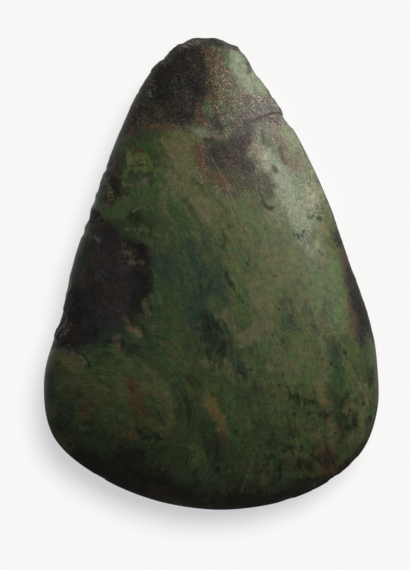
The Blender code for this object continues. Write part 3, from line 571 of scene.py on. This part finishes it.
def oval_distance(places, middle, halves, turn_degrees):
    """0 at an oval's middle and 1 on its edge."""
    angle = math.radians(turn_degrees)
    across = places - middle
    long_way = across @ (math.cos(angle), math.sin(angle))
    short_way = across @ (-math.sin(angle), math.cos(angle))
    return np.hypot(long_way / halves[0], short_way / halves[1])


def patch_field(places, patches):
    """1 deep inside the outlines, 0.5 on them and 0 well outside, over each one's border width."""
    fields = [0.5 + depth_inside(places, outline) / border for border, outline in patches.values()]
    return np.clip(np.max(fields, axis=0), 0.0, 1.0)


def mark_field(places, marks):
    """The strongest mark at each place: its strength at its middle, half of that at its edge."""
    field = np.zeros(len(places))
    for route, half, strength in marks:
        out = distance_to(places, route) / half
        field = np.maximum(field, strength * (1.0 - smooth_step(0.2, 1.8, out)))
    return field


# The veins run through the stone at a slant, so below the rim each place takes what lies this far off above
SLANT = (-0.9, 1.2)

ground_mm = ground / MM
depth_mm = np.maximum(RIM_LEVEL / MM - ground_mm[:, 2], 0.0)
seen_mm = ground_mm.copy()
seen_mm[:, 0] += SLANT[0] * depth_mm
seen_mm[:, 1] += SLANT[1] * depth_mm
places = ragged(seen_mm, 3.0)
rind = patch_field(places, RIND)
marks = {name: mark_field(places, kind) for name, kind in MARKS.items()}
fissure = np.zeros(len(places))
fissure_depth = np.zeros(len(places))
straight = seen_mm[:, :2]
for route, half, depth in FISSURES.values():
    near = 1.0 - smooth_step(0.4, 1.3, distance_to(straight, route) / half)
    fissure = np.maximum(fissure, near)
    fissure_depth = np.maximum(fissure_depth, near * depth)
thread = np.zeros(len(places))
for route, half in THREADS.values():
    thread = np.maximum(thread, 1.0 - smooth_step(0.3, 1.4, distance_to(straight, route) / half))
specks = np.zeros(len(places))
for speck in SPECKS:
    specks = np.maximum(specks, 1.0 - smooth_step(0.3, 1.2, np.hypot(*(places - speck).T) / SPECK_HALF))

# The relief
# Grinding by hand leaves the faces faintly uneven. The rind lies a little below them, lumpy and pitted.
# Flakes struck from the left edge left small hollows, and the butt's end was pecked, not ground.

# A scoop is its middle, half-sizes, turn in degrees and depth. One with a minus stands proud.
SCOOPS = (
    ((-24.6, 40.3), (3.9, 3.2), 150, 0.40), ((-26.4, 35.4), (7.0, 2.1), 3, 0.30),
    ((-26.0, 31.2), (6.3, 2.1), 2, 0.22), ((-34.4, 37.1), (3.2, 4.9), 60, 0.45),
    ((-37.6, 29.4), (3.2, 3.9), 40, 0.50), ((-30.9, 26.3), (3.2, 1.8), 10, 0.25),
    ((-41.1, 20.0), (4.2, 2.1), 15, 0.35), ((-21.8, -11.2), (1.8, 3.2), 0, 0.45),
    ((-26.0, -18.9), (4.2, 3.2), 160, 0.40), ((-33.0, -24.8), (2.5, 3.2), 0, 0.35),
    ((-48.4, -30.4), (6.7, 3.5), 165, 0.45), ((-27.8, 5.6), (4.6, 6.3), 0, 0.35),
    ((-44.6, -14.0), (8.4, 9.8), 60, 0.40), ((-36.9, 4.2), (4.2, 10.5), 0, 0.25),
    ((-45.3, 1.4), (4.2, 6.3), 0, 0.30), ((-37.2, 37.1), (1.8, 2.8), 60, 0.30),
    ((-42.1, 25.9), (2.1, 2.8), 60, 0.35), ((-44.6, 14.0), (1.8, 3.2), 60, 0.40),
    ((43.0, -71.8), (2.1, 1.4), 30, 0.45), ((37.7, -75.6), (2.5, 1.4), 28, 0.50),
    ((26.2, -79.5), (3.2, 1.1), 12, 0.35), ((-39.0, -71.1), (2.8, 1.1), 150, 0.30),
    ((50.0, -65.1), (2.1, 1.1), 45, 0.25), ((-15.9, 76.0), (2.5, 2.1), 40, 0.45),
    ((-8.5, 80.5), (2.8, 1.8), 15, 0.35), ((5.1, 81.2), (3.5, 1.4), 160, 0.40),
    ((26.2, 53.9), (1.8, 1.4), 130, 0.60), ((-2.6, 81.9), (1.4, 1.1), 0, 0.30),
    ((9.3, 80.5), (2.1, 2.1), 30, -0.60), ((5.8, 81.9), (1.1, 1.4), 0, 0.30),
    ((-5.0, 82.6), (1.4, 1.4), 0, -0.20), ((-20.4, 72.1), (1.8, 1.8), 45, -0.35),
    ((-17.6, 74.9), (1.1, 1.8), 45, 0.40), ((-13.4, 77.7), (1.1, 1.8), 45, 0.40),
    ((17.0, 66.5), (1.8, 2.1), 60, -0.30), ((21.3, 62.3), (1.1, 1.8), 50, 0.35),
    ((25.1, 57.1), (1.4, 1.4), 60, -0.25), ((27.6, 53.2), (1.4, 1.4), 60, 0.50),
    ((-25.0, 63.7), (1.4, 2.1), 60, 0.25), ((-9.6, 81.6), (2.8, 1.8), 28, 0.45),
    ((-52.6, -15.7), (1.8, 3.2), -12, 0.90), ((-50.2, -3.5), (1.4, 3.5), -12, 0.20),
    ((-54.4, -20.3), (1.4, 2.1), -12, -0.50),
)
PECKED_FROM = 76.3
PECKED_FULLY = 81.2
RIND_LUMPS = 0.8
RIND_DROP = 0.22
WORN_LUMPS = 0.35
WORN_DROP = 0.1
SPECK_DEPTH = 0.10
# Each unevenness is a few noises: the height, the size of its lumps and its seed
GRINDING = ((0.20, 26.0, 5.0), (0.07, 9.0, 8.0))
RIND_SKIN = ((0.20, 5.0, 2.0), (0.12, 2.0, 4.0), (0.07, 1.1, 6.0))
PECKING = ((0.30, 2.6, 7.0), (0.14, 1.2, 9.0))


def unevenness(kind):
    return sum(height * noise_at(ground_mm, size, seed) for height, size, seed in kind)


relief = unevenness(GRINDING)
lumps = unevenness(RIND_SKIN)
relief += smooth_step(0.3, 0.95, rind) * (RIND_LUMPS * lumps - RIND_DROP)
relief += WORN_LUMPS * smooth_step(0.3, 0.9, marks["mauve"]) * (lumps - WORN_DROP)
relief += smooth_step(PECKED_FROM, PECKED_FULLY, seen_mm[:, 1]) * unevenness(PECKING)
for middle, halves, turn_degrees, depth in SCOOPS:
    relief -= depth * np.clip(1.0 - oval_distance(places, middle, halves, turn_degrees) ** 2, 0.0, 1.0)
relief -= fissure_depth + SPECK_DEPTH * specks
shaped = ground + normals_of(ground) * relief[:, None] * MM
shaped[:, 2] = np.maximum(shaped[:, 2], 0.0)
resting = ground[:, 2] <= 0.0
shaped[resting] = ground[resting]
shaped[:, 1] = np.minimum(shaped[:, 1], LENGTH / 2)

# The grain
# Nephrite is a felt of fibres. They sweep down the head from its left shoulder, and fold over on themselves
# by the left end of the blade.
FOLD_MIDDLE = np.array((-42.5, -68.6))
FOLD_HEART = (-38.0, -55.0)
FOLD_REACH = (26.0, 44.0)
FOLD_LENGTH = 26.0  # how far the fibres run for each radian round the fold
SWEEP = 0.35
BOW = 0.002
bowed = seen_mm[:, 0] + SWEEP * seen_mm[:, 1] + BOW * seen_mm[:, 1] ** 2
from_fold = seen_mm[:, :2] - FOLD_MIDDLE
folded = np.hypot(*from_fold.T)
in_fold = 1.0 - smooth_step(*FOLD_REACH, np.hypot(*(seen_mm[:, :2] - FOLD_HEART).T))
grain_across = bowed * (1.0 - in_fold) + folded * in_fold + 2.2 * noise_at(seen_mm, 14.0, 12.0)
fold_turn = np.arctan2(from_fold[:, 1], from_fold[:, 0])
grain_along = seen_mm[:, 1] * (1.0 - in_fold) + FOLD_LENGTH * fold_turn * in_fold
grain_along = grain_along + 2.0 * noise_at(seen_mm, 10.0, 15.0)

# The mesh
# The finished head is one closed skin, with no seam between its faces. Each of its vertices holds how much
# of every feature is there, and the material finds the features by name.
mesh = bpy.data.meshes.new("axe_head_stone")
mesh.from_pydata(shaped.tolist(), [], triangles.tolist())
mesh.shade_smooth()
# A near-black line round the outermost ring is painted shade, where the rim turns away from the light.
rim_painted_shade = smooth_step(0.982, 0.999, out)
features = {
    "rind": rind, "rim": rim_painted_shade, "fissure": fissure, "thread": thread, "specks": specks,
    "grain_across": grain_across, "grain_along": grain_along, **marks,
}
for name, values in features.items():
    mesh.attributes.new(name, "FLOAT", "POINT").data.foreach_set("value", values.astype(np.float32))
head = bpy.data.objects.new("axe_head_stone", mesh)
bpy.context.scene.collection.objects.link(head)
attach(head, "root")
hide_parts("axe_head")


# The stone
# Polished nephrite is green with clouds of other colours, and its satin gloss shows the fibres. The rind
# stays dull and dark. Each feature is a stain over the green, broken up by noise along the stone's grain.
# The sage stain also paints a sheen on the upper right, and the deep, umber and rim stains also paint shade
# towards the lower part and along the edges.
def put(tree, kind, settings, inputs):
    """Adds a node with these settings. Each input takes a value, or a link to another node's output."""
    made = tree.nodes.new(kind)
    made.location = (len(tree.nodes) * 170, 0)
    for name, value in settings.items():
        setattr(made, name, value)
    for name, value in inputs.items():
        if isinstance(value, bpy.types.NodeSocket):
            tree.links.new(value, made.inputs[name])
        else:
            made.inputs[name].default_value = value
    return made


def reckon(tree, operation, first, second):
    return put(tree, "ShaderNodeMath", {"operation": operation}, {0: first, 1: second}).outputs[0]


def times(tree, first, second):
    return reckon(tree, "MULTIPLY", first, second)


def plus(tree, first, second):
    return reckon(tree, "ADD", first, second)


def blend(tree, factor, below, over, kind="MIX"):
    settings = {"data_type": "RGBA", "blend_type": kind}
    return put(tree, "ShaderNodeMix", settings, {0: factor, 6: below, 7: over}).outputs[2]


def speckle(tree, where, scale, detail, roughness):
    sockets = {"Vector": where, "Scale": scale, "Detail": detail, "Roughness": roughness}
    return put(tree, "ShaderNodeTexNoise", {}, sockets).outputs["Fac"]


def stain_group():
    """Lays a stain over a colour wherever a feature's field, roughened by noise, rises past a half."""
    tree = bpy.data.node_groups.new("stain", "ShaderNodeTree")
    for name, kind in (
        ("Below", "NodeSocketColor"), ("Stain", "NodeSocketColor"), ("Field", "NodeSocketFloat"),
        ("Noise", "NodeSocketFloat"), ("Breakup", "NodeSocketFloat"), ("Edge", "NodeSocketFloat"),
        ("Opacity", "NodeSocketFloat"),
    ):
        tree.interface.new_socket(name, in_out="INPUT", socket_type=kind)
    tree.interface.new_socket("Colour", in_out="OUTPUT", socket_type="NodeSocketColor")
    tree.interface.new_socket("Mask", in_out="OUTPUT", socket_type="NodeSocketFloat")
    given = put(tree, "NodeGroupInput", {}, {}).outputs
    centred = reckon(tree, "SUBTRACT", given["Noise"], 0.5)
    rough = times(tree, centred, given["Breakup"])
    mask = put(tree, "ShaderNodeMapRange", {"interpolation_type": "SMOOTHSTEP"}, {
        "Value": plus(tree, given["Field"], rough),
        "From Min": reckon(tree, "SUBTRACT", 0.5, given["Edge"]),
        "From Max": plus(tree, 0.5, given["Edge"]),
    }).outputs["Result"]
    near = put(tree, "ShaderNodeMapRange", {}, {"Value": given["Field"], "From Max": 0.3}).outputs["Result"]
    mask = times(tree, mask, times(tree, near, given["Opacity"]))
    colour = blend(tree, mask, given["Below"], given["Stain"])
    put(tree, "NodeGroupOutput", {}, {"Colour": colour, "Mask": mask})
    return tree


GREEN = (0.041, 0.057, 0.026, 1.0)
YELLOWER_GREEN = (0.055, 0.069, 0.028, 1.0)
BRIGHTER_GREEN = (0.036, 0.076, 0.024, 1.0)
RIND_BROWN = (0.032, 0.0225, 0.0155, 1.0)
RIND_FRINGE = (0.078, 0.054, 0.036, 1.0)
PALE_FLECK = (0.155, 0.124, 0.084, 1.0)
DARK_PIT = (0.012, 0.009, 0.009, 1.0)
THREAD = (0.17, 0.14, 0.075, 1.0)
FISSURE = (0.006, 0.006, 0.005, 1.0)
SPECK = (0.011, 0.018, 0.009, 1.0)
COOLER = (0.94, 1.04, 0.975, 1.0)
WARMER = (1.07, 0.965, 1.035, 1.0)
STONE_IOR = 1.61
STONE_SHINE = 0.15
POLISHED = 0.44  # roughness where the stone is ground
DULLED = 0.62  # and on the rind
FIBRE_HEIGHT = 0.12 * MM
stain = stain_group()
stone = bpy.data.materials.new("nephrite")
stone.use_nodes = True
tree = stone.node_tree
shader = tree.nodes["Principled BSDF"]


def feature(name):
    return put(tree, "ShaderNodeAttribute", {"attribute_name": name}, {}).outputs["Fac"]


where = put(tree, "ShaderNodeTexCoord", {}, {}).outputs["Object"]
where_mm = put(tree, "ShaderNodeVectorMath", {"operation": "SCALE"}, {0: where, "Scale": 1000.0}).outputs[0]
places_mm = put(tree, "ShaderNodeSeparateXYZ", {}, {0: where_mm}).outputs
across, along = feature("grain_across"), feature("grain_along")


def fibres(across_scale, along_scale, detail):
    vector = put(tree, "ShaderNodeCombineXYZ", {}, {
        "X": times(tree, across, across_scale),
        "Y": times(tree, along, along_scale),
        "Z": times(tree, places_mm["Z"], 0.3),
    }).outputs[0]
    sockets = {"Vector": vector, "Scale": 1.0, "Detail": detail, "Roughness": 0.66, "Distortion": 0.9}
    return put(tree, "ShaderNodeTexNoise", {}, sockets).outputs["Fac"]


clouding = speckle(tree, where_mm, 0.13, 6.0, 0.65)
mottle = speckle(tree, where_mm, 0.42, 5.0, 0.68)
grit = speckle(tree, where_mm, 1.25, 3.0, 0.72)
grains = speckle(tree, where_mm, 2.1, 2.0, 0.6)
patches = speckle(tree, where_mm, 0.45, 0.6, 0.5)
streaks = fibres(0.42, 0.13, 5.0)
strands = fibres(1.5, 0.5, 3.0)
flecks = fibres(1.7, 1.05, 4.0)


def mingle(first, second):
    """Two noises averaged."""
    return times(tree, plus(tree, first, second), 0.5)


def band(value, low, high, to_low, to_high):
    """Maps a value's low to high range onto another, with soft ends."""
    return put(tree, "ShaderNodeMapRange", {"interpolation_type": "SMOOTHSTEP"}, {
        "Value": value, "From Min": low, "From Max": high, "To Min": to_low, "To Max": to_high,
    }).outputs["Result"]


felt = mingle(streaks, mingle(streaks, mottle))
speckled = mingle(flecks, mottle)
dotted = mingle(flecks, mingle(flecks, grit))
granular = mingle(grit, mingle(flecks, mottle))
clouds = band(mingle(clouding, streaks), 0.40, 0.60, 0.0, 1.0)
colour = blend(tree, clouds, GREEN, YELLOWER_GREEN)
colour = blend(tree, band(mottle, 0.50, 0.62, 0.0, 0.45), colour, BRIGHTER_GREEN)
# A stain is its feature, its colour, the noise that breaks it up and how strongly, the softness of its
# border, and how much of the stone it hides
STAINS = (
    ("olive", (0.087, 0.100, 0.034), felt, 3.9, 0.70, 0.90),
    ("fresh", (0.074, 0.112, 0.042), felt, 3.4, 0.65, 0.80),
    ("teal", (0.023, 0.045, 0.030), felt, -3.4, 0.65, 0.85),
    ("moss", (0.035, 0.076, 0.022), felt, -3.4, 0.65, 0.65),
    # Deep is near-black green, and also painted shade in the head's lower part.
    ("deep_and_lower_shade", (0.012, 0.018, 0.010), felt, -3.4, 0.60, 0.90),
    # Umber also paints shade along the lower and left edges.
    ("umber_and_edge_shade", (0.017, 0.014, 0.009), felt, 4.4, 0.65, 0.92),
    ("tan", (0.121, 0.112, 0.055), felt, 3.4, 0.80, 0.85),
    # Sage paints a pale sheen on the upper right shoulder over the stone's own pale green.
    ("sage_and_sheen", (0.206, 0.230, 0.151), dotted, 4.0, 0.72, 0.92),
    ("cream", (0.250, 0.230, 0.148), speckled, 3.6, 0.65, 0.85),
    ("leaf", (0.112, 0.126, 0.040), mottle, 3.4, 0.40, 0.90),
    ("taupe", (0.112, 0.089, 0.062), granular, 5.6, 0.45, 0.92),
    ("ochre", (0.150, 0.108, 0.036), dotted, 4.0, 0.55, 0.80),
    ("mauve", (0.028, 0.0205, 0.0180), granular, 5.6, 0.45, 0.92),
    ("rind", (0.0096, 0.0086, 0.0090), granular, 4.2, 0.28, 0.96),
    ("slate", (0.033, 0.0290, 0.0290), granular, 4.0, 0.50, 0.85),
    ("lilac", (0.128, 0.114, 0.104), granular, 3.0, 0.60, 0.72),
    ("ash", (0.200, 0.192, 0.175), granular, 5.0, 0.40, 0.80),
    ("rust", (0.088, 0.043, 0.023), dotted, 4.6, 0.50, 0.75),
    ("fern", (0.072, 0.098, 0.052), granular, 4.4, 0.50, 0.80),
    ("frost", (0.130, 0.115, 0.078), speckled, 5.0, 0.38, 0.80),
    # The rim stain is painted shade: a dark line round the outline.
    ("rim", (0.014, 0.014, 0.010), mottle, 1.6, 0.40, 0.75),
)
masks = {}
for name, tint, breaking, breakup, edge, opacity in STAINS:
    laid = put(tree, "ShaderNodeGroup", {"node_tree": stain}, {
        "Below": colour, "Stain": (*tint, 1.0), "Field": feature(name), "Noise": breaking,
        "Breakup": breakup, "Edge": edge, "Opacity": opacity,
    })
    colour, masks[name] = laid.outputs["Colour"], laid.outputs["Mask"]

# The rind turns brown in clouds and is flecked along its border, which shows by the butt most of all
near_butt = band(places_mm["Y"], 22.0, 40.0, 0.12, 1.0)
brown = times(tree, masks["rind"], band(clouding, 0.45, 0.60, 0.0, 0.6))
colour = blend(tree, brown, colour, RIND_BROWN)
fringe = times(tree, masks["rind"], band(feature("rind"), 0.70, 1.0, 0.60, 0.10))
flecked = times(tree, times(tree, fringe, near_butt), band(dotted, 0.52, 0.59, 0.0, 1.0))
colour = blend(tree, flecked, colour, RIND_FRINGE)

# Worn skin shows pale flecks and dark pits
worn = reckon(tree, "MAXIMUM", masks["taupe"], times(tree, masks["mauve"], 0.42))
colour = blend(tree, times(tree, worn, band(flecks, 0.51, 0.64, 0.0, 0.44)), colour, PALE_FLECK)
colour = blend(tree, times(tree, worn, band(flecks, 0.40, 0.465, 0.85, 0.0)), colour, DARK_PIT)
colour = blend(tree, times(tree, feature("thread"), 0.55), colour, THREAD)
colour = blend(tree, times(tree, feature("fissure"), 0.75), colour, FISSURE)
dots = times(tree, feature("specks"), band(granular, 0.40, 0.54, 0.50, 0.92))
colour = blend(tree, dots, colour, SPECK)

# Faint drifts of a cooler and a warmer hue, then light and dark by the strands and the grit
drift = blend(tree, band(patches, 0.38, 0.62, 0.0, 1.0), COOLER, WARMER)
colour = blend(tree, 1.0, colour, drift, "MULTIPLY")
gritty = band(mingle(grit, mottle), 0.38, 0.62, 0.82, 1.18)
tone = times(tree, band(strands, 0.36, 0.64, 0.85, 1.15), gritty)
tone = times(tree, tone, band(grains, 0.30, 0.38, 0.55, 1.0))
skin = reckon(tree, "MAXIMUM", times(tree, masks["rind"], near_butt), worn)
pecks = plus(tree, band(grains, 0.40, 0.60, -0.54, 0.60), band(granular, 0.43, 0.57, -0.28, 0.34))
tone = times(tree, tone, plus(tree, times(tree, skin, pecks), 1.0))
toned = put(tree, "ShaderNodeVectorMath", {"operation": "SCALE"}, {0: colour, "Scale": tone}).outputs[0]
tree.links.new(toned, shader.inputs["Base Color"])

dull = reckon(tree, "MAXIMUM", masks["rind"], times(tree, masks["mauve"], 0.6))
uneven = times(tree, reckon(tree, "SUBTRACT", grit, 0.5), 0.5)
roughness = put(tree, "ShaderNodeMapRange", {}, {
    "Value": plus(tree, dull, uneven), "To Min": POLISHED, "To Max": DULLED,
}).outputs["Result"]
tree.links.new(roughness, shader.inputs["Roughness"])
shader.inputs["IOR"].default_value = STONE_IOR
shader.inputs["Specular IOR Level"].default_value = STONE_SHINE

fibrous = plus(tree, times(tree, strands, 0.6), times(tree, grit, 0.6))
coarse = times(tree, times(tree, grit, 1.6), dull)
bump = put(tree, "ShaderNodeBump", {}, {
    "Strength": 0.55, "Distance": FIBRE_HEIGHT, "Height": plus(tree, fibrous, coarse),
}).outputs["Normal"]
tree.links.new(bump, shader.inputs["Normal"])
mesh.materials.append(stone)

# The table
# A plain matt pale sheet that the head lies on, wide enough that no view from above sees past it. It gives
# off some light of its own, which keeps it as even as a studio sheet lit from all round.
SHEET_HALF = 1500 * MM
SHEET_DROP = 0.05 * MM
SHEET_LOOKS = {
    "Base Color": (0.405, 0.40, 0.37, 1.0), "Roughness": 1.0, "Specular IOR Level": 0.0,
    "Emission Color": (0.985, 0.977, 1.0, 1.0), "Emission Strength": 0.568,
}
floor_mesh = bpy.data.meshes.new("table_top")
sides = ((-1, -1), (1, -1), (1, 1), (-1, 1))
corners = [(across * SHEET_HALF, along * SHEET_HALF, -SHEET_DROP) for across, along in sides]
floor_mesh.from_pydata(corners, [], [(0, 1, 2, 3)])
floor = bpy.data.objects.new("table_top", floor_mesh)
bpy.context.scene.collection.objects.link(floor)
pale = bpy.data.materials.new("pale_sheet")
pale.use_nodes = True
for name, value in SHEET_LOOKS.items():
    pale.node_tree.nodes["Principled BSDF"].inputs[name].default_value = value
floor_mesh.materials.append(pale)

# The lights
# A soft box close by on the upper right lights the stone and leaves its far side dim. The table has a light
# of its own, nearly overhead, so that the shadow stays close to the stone. A weak fill is all round.
FILL = (0.07, 0.072, 0.098, 1.0)
SOFT_BOX_AT = (0.16, 0.13, 0.20)
SOFT_BOX_WIDTH = 0.16
SOFT_BOX_WATTS = 0.85
SOFT_BOX_COLOUR = (1.0, 0.99, 0.94)
TABLE_LIGHT_AT = (0.27, 0.45, 0.94)
TABLE_LIGHT_STRENGTH = 3.13
TABLE_LIGHT_SPREAD = math.radians(32)


def add_lamp(name, kind, energy, place, aimed_at, lit):
    """A lamp that falls on one object only."""
    lamp_data = bpy.data.lights.new(name, kind)
    lamp_data.energy = energy
    lamp = bpy.data.objects.new(name, lamp_data)
    lamp.location = place
    lamp.rotation_euler = (Vector(place) - Vector(aimed_at)).to_track_quat("Z", "Y").to_euler()
    bpy.context.scene.collection.objects.link(lamp)
    receivers = bpy.data.collections.new(name + "_falls_on")
    receivers.objects.link(lit)
    lamp.light_linking.receiver_collection = receivers
    return lamp_data


soft_box = add_lamp("soft_box", "AREA", SOFT_BOX_WATTS, SOFT_BOX_AT, (0.0, 0.02, RIM_LEVEL), head)
soft_box.shape = "DISK"
soft_box.size = SOFT_BOX_WIDTH
soft_box.color = SOFT_BOX_COLOUR
table_light = add_lamp("table_light", "SUN", TABLE_LIGHT_STRENGTH, TABLE_LIGHT_AT, (0.0, 0.0, 0.0), floor)
table_light.angle = TABLE_LIGHT_SPREAD
world = bpy.data.worlds.new("fill")
world.use_nodes = True
world.node_tree.nodes["Background"].inputs["Color"].default_value = FILL
bpy.context.scene.world = world
bpy.context.scene.view_settings.view_transform = "Standard"

# The camera
# It looks straight down through a long lens, a little to the left of the head's middle.
SEEN_HEIGHT = 199.6 * MM
SEEN_MIDDLE = (-2.2 * MM, -3.8 * MM)
LENS = 120
SENSOR = 36
lens_data = bpy.data.cameras.new("camera")
lens_data.sensor_fit = "VERTICAL"
lens_data.sensor_height = SENSOR
lens_data.lens = LENS
camera = bpy.data.objects.new("camera", lens_data)
camera.location = (*SEEN_MIDDLE, RIM_LEVEL + SEEN_HEIGHT * LENS / SENSOR)
bpy.context.scene.collection.objects.link(camera)
bpy.context.scene.camera = camera
